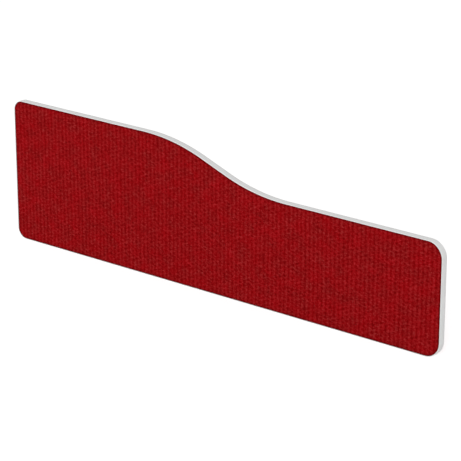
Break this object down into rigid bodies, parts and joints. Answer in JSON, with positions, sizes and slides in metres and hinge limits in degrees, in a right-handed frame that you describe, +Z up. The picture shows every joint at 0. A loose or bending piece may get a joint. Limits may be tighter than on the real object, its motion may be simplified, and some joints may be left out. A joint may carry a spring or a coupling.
{
  "type": "desk privacy panel",
  "caption": "Fabric-covered desk privacy panel whose top edge sweeps down in a wave from a tall end to a low end, edged all round with a crowned plastic trim.",
  "frame": {"origin": "middle of the panel's length and thickness, at the crown of the trim along the bottom edge", "axes": "+X along the panel towards its low end, +Y from the front face to the rear face, +Z up"},
  "size_m": [1.3998, 0.021, 0.3999],
  "materials": {
    "frame_timber": "planed softwood",
    "dowel_beech": "turned beech, fluted and glued",
    "honeycomb_paper": "kraft paper honeycomb",
    "hardboard": "smooth hardboard",
    "backing_foam": "open-cell foam sheet",
    "woven_fabric": "woven upholstery fabric, red melange",
    "trim_pvc": "satin pale grey PVC",
    "insert_brass": "turned brass"
  },
  "bodies": {
    "root": {"bottom_rail": "frame_timber", "tall_stile": "frame_timber", "low_stile": "frame_timber", "tall_top_rail": "frame_timber", "wave_rail": "frame_timber", "low_top_rail": "frame_timber", "tall_stud": "frame_timber", "low_stud": "frame_timber", "frame_dowels": "dowel_beech", "tall_honeycomb": "honeycomb_paper", "wave_honeycomb": "honeycomb_paper", "low_honeycomb": "honeycomb_paper", "front_board": "hardboard", "rear_board": "hardboard", "front_foam": "backing_foam", "rear_foam": "backing_foam", "front_fabric": "woven_fabric", "rear_fabric": "woven_fabric", "edge_trim": "trim_pvc", "threaded_inserts": "insert_brass"}
  },
  "joints": []
}
